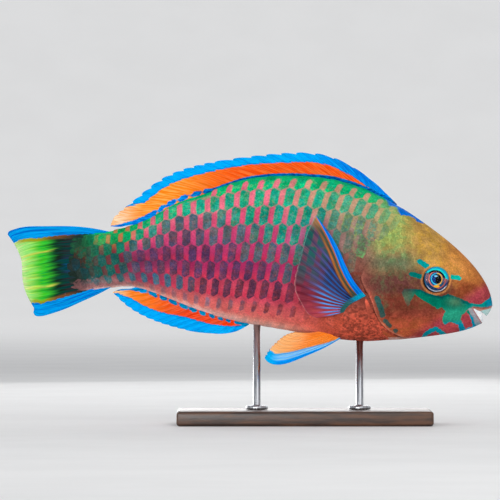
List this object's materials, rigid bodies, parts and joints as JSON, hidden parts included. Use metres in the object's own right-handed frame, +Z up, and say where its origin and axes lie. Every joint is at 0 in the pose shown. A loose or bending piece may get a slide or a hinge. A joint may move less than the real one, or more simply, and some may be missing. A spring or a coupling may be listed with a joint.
{
  "type": "parrotfish model on a display stand",
  "caption": "Life-size terminal-phase male parrotfish with fused beak plates, large scales and spread fins, held level over a plain wooden base by two short steel rods.",
  "frame": {"origin": "centre of the underside of the whole object's bounding box, on the floor under the stand", "axes": "+X towards the snout, +Y towards the fish's left flank, +Z up"},
  "size_m": [0.3999, 0.11, 0.2242],
  "materials": {
    "skin": "satin, slightly moist; green, teal, rose and orange by region",
    "beak": "smooth tooth plate",
    "eye": "clear gloss over a dark ringed iris",
    "fin": "thin rayed membrane, satin, with blue margins",
    "stand_wood": "dark oiled",
    "stand_steel": "brushed"
  },
  "bodies": {
    "root": {"head": "skin", "gill_cover_right": "skin", "gill_cover_left": "skin", "trunk": "skin", "tail_stalk": "skin", "lower_jaw": "skin", "upper_beak": "beak", "lower_beak": "beak", "eye_right": "eye", "eye_left": "eye", "dorsal_fin": "fin", "anal_fin": "fin", "caudal_fin": "fin", "pectoral_fin_right": "fin", "pectoral_fin_left": "fin", "pelvic_fin_right": "fin", "pelvic_fin_left": "fin", "stand_base": "stand_wood", "stand_rod_front": "stand_steel", "stand_rod_rear": "stand_steel"}
  },
  "joints": []
}
